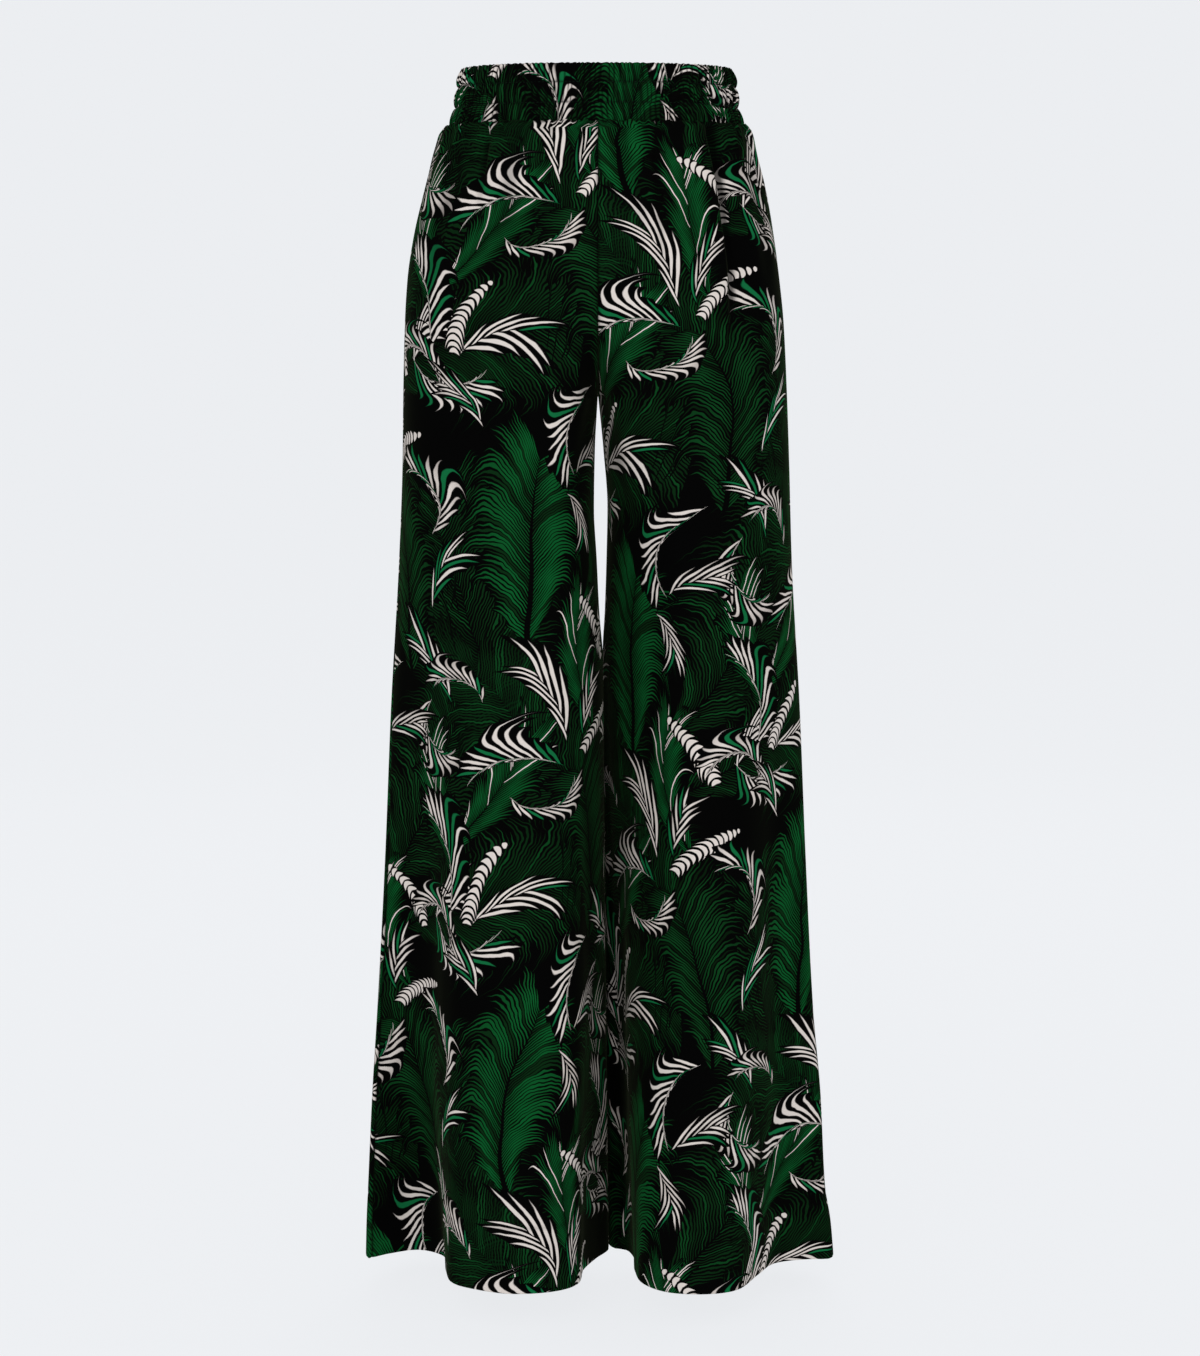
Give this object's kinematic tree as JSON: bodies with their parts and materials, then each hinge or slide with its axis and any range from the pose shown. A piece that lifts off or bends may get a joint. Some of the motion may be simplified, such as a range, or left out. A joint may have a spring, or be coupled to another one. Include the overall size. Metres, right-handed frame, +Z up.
{
  "type": "palazzo pants",
  "caption": "Wide-leg high-waisted pants of printed velvet with a shirred elastic waistband, hollow and filled out as when worn, open at waist and hems.",
  "frame": {"origin": "middle of the waistband's height, on the line of the centre seams, where the elastic waist grips the wearer", "axes": "+Z up along the wearer, from the hems to the waist; -Y the front; +X the wearer's left"},
  "size_m": [0.439, 0.2511, 1.095],
  "materials": {
    "velvet": "matte velvet with a soft sheen, printed with large curled plumes in bright and dark green and pale blush strokes on black",
    "band_velvet": "the same printed velvet, drawn into fine vertical puckers over three elastic channels"
  },
  "bodies": {
    "root": {"front_left": "velvet", "front_right": "velvet", "back_left": "velvet", "back_right": "velvet", "waistband_front": "band_velvet", "waistband_back": "band_velvet"}
  },
  "joints": []
}
